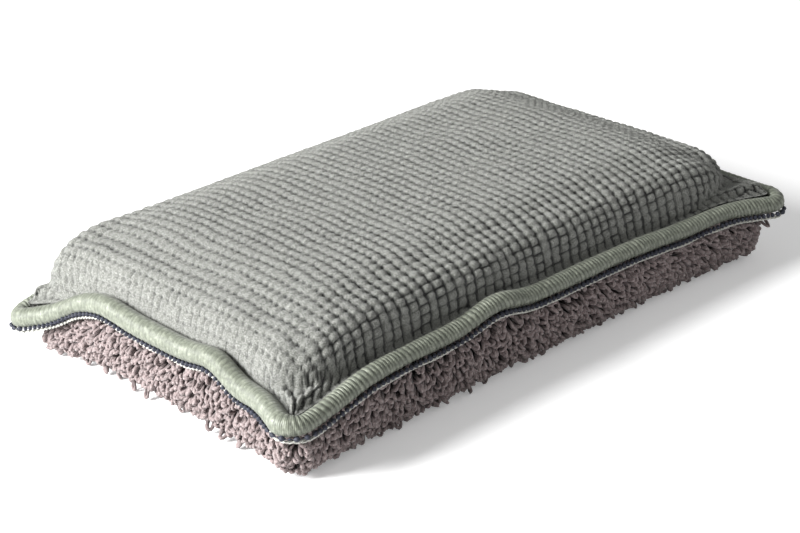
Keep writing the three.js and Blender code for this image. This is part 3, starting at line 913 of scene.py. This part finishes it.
def loop_mesh(name, roots, outs, lengths, seed, material):
    """Noodle loops: each goes out from its root, turns over and comes back beside itself."""
    random = np.random.default_rng(seed)
    count = len(roots)
    bend = np.linspace(0, math.pi, LOOP_STATIONS)
    reach = np.sin(bend) ** 0.75
    path, lean = loop_paths(random, roots, outs, lengths, bend, reach)
    points = loop_rings(random, path, lean, bend)
    shape = (count, LOOP_STATIONS, LOOP_SIDES)
    # Painted shade: the root value is 1 at a loop's two ends and 0 at its tip, and darkens the loops towards
    # their roots.
    root = np.broadcast_to((1 - reach)[None, :, None], shape)
    tone = np.broadcast_to(random.uniform(0, 1, count)[:, None, None], shape)
    values = {"root": root.ravel(), "tone": tone.ravel()}
    piece = mesh_object(name, points.reshape(-1, 3), loop_faces(count), values)
    dress(piece, material, "pile_cover")


def rim_places(low, high, pitch):
    """Even places on part of the rim, counted from 0 at the front left corner to 4."""
    places = []
    for side in range(4):
        size = 2 * HALF[side % 2]
        cells = round(size / pitch)
        k = side + (np.arange(cells) + 0.5) / cells
        places.append(k[(k >= low) & (k < high)])
    k = np.concatenate(places)
    run = 2 * (k % 1) - 1
    one = np.ones_like(run)
    side = np.floor(k).astype(int)
    s = np.choose(side, [run, one, -run, -one])
    t = np.choose(side, [-one, run, one, -run])
    return s, t


def wall_row(random, row, low, high):
    """One row of loops on part of the wall: their roots, ways out and lengths."""
    s, t = rim_places(low, high, WALL_LOOP_PITCH)
    count = len(s)
    chance = random.uniform(-WALL_HEIGHT_CHANCE, WALL_HEIGHT_CHANCE, count)
    height = np.clip((row + WALL_ROW_LOWEST) / WALL_LOOP_ROWS + chance, 0.02, 1)
    # Every second row is shifted by half a pitch, and each loop by chance.
    nudge = random.uniform(-0.5, 0.5, count) + (row % 2) * 0.5
    on_long = np.abs(t) == 1
    s = np.where(on_long, np.clip(s + nudge * WALL_LOOP_PITCH / HALF[0], -1, 1), s)
    t = np.where(on_long, t, np.clip(t + nudge * WALL_LOOP_PITCH / HALF[1], -1, 1))
    tip = pile_wall(s, t, height)
    core = plan(s * WALL_CORE_SHARES[0], t * WALL_CORE_SHARES[1], WALL_CORE_INSET)
    level = tip[:, :2] - np.stack(core, -1)
    level /= np.linalg.norm(level, axis=1)[:, None]
    droop = WALL_DROOP + WALL_DROOP_CHANCE * random.normal(size=count) + (height - 0.5) * WALL_DROOP_RISE
    out = np.column_stack([level, droop])
    out /= np.linalg.norm(out, axis=1)[:, None]
    length = random.uniform(*WALL_LOOP_LENGTHS, count)
    return tip - out * (length - TIP_ROOM)[:, None], out, length


def make_wall_loops(name, low, high, seed, material):
    random = np.random.default_rng(seed)
    rows = [wall_row(random, row, low, high) for row in range(WALL_LOOP_ROWS)]
    roots, outs, lengths = (np.concatenate(values) for values in zip(*rows))
    loop_mesh(name, roots, outs, lengths, seed + 1, material)


def make_underside_loops(material):
    random = np.random.default_rng(61)
    reach = HALF - UNDERSIDE_INSET
    xs = np.arange(-reach[0], reach[0], UNDERSIDE_LOOP_PITCH)
    ys = np.arange(-reach[1], reach[1], UNDERSIDE_LOOP_PITCH * UNDERSIDE_ROW_SHARE)
    x, y = np.meshgrid(xs, ys)
    x = x + (np.arange(len(ys)) % 2)[:, None] * UNDERSIDE_LOOP_PITCH / 2
    roots = np.stack([x.ravel(), y.ravel(), np.full(x.size, UNDERSIDE_ROOT_HEIGHT)], -1)
    count = len(roots)
    roots[:, :2] += random.uniform(-UNDERSIDE_ROOT_CHANCE, UNDERSIDE_ROOT_CHANCE, (count, 2))
    outs = np.stack([*random.normal(0, UNDERSIDE_LEAN, (2, count)), -np.ones(count)], -1)
    lengths = random.uniform(*UNDERSIDE_LOOP_LENGTHS, count)
    loop_mesh("pile_under", roots, outs, lengths, 62, material)


def make_loose_loops(material):
    """A few pulled loops that hang under the front right ear."""
    roots = np.array([(71.0, -40.5, 12.0), (69.5, -41.5, 11.5), (67.5, -41.8, 11.0)])
    outs = np.array([(0.7, -0.5, -0.5), (0.4, -0.5, -0.9), (0.1, -0.4, -1.0)])
    loop_mesh("pile_loose", roots, outs, np.array([4.6, 4.0, 3.6]), 81, material)


def make_pile(material):
    make_pile_base(base_material())
    make_wall_loops("pile_front", 0, 1, 31, material)
    make_wall_loops("pile_right", 1, 2, 41, material)
    make_wall_loops("pile_back", 2, 3, 51, material)
    make_wall_loops("pile_left", 3, 4, 71, material)
    make_underside_loops(material)
    make_loose_loops(material)


add_camera()
add_floor()
add_world()
for lamp, settings in LAMPS.items():
    add_lamp(lamp, *settings)
make_knit(knit_material())
make_binding(binding_material())
make_looper_thread(thread_material("navy_thread", (16, 18, 26), (52, 56, 74), 0.6))
make_chain_thread(thread_material("white_thread", (150, 150, 144), (226, 226, 218), 0.6))
make_pile(pile_material())
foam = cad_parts["foam_core"]
foam.data.materials.clear()
foam.data.materials.append(foam_material())

bpy.context.scene.view_settings.view_transform = "Standard"
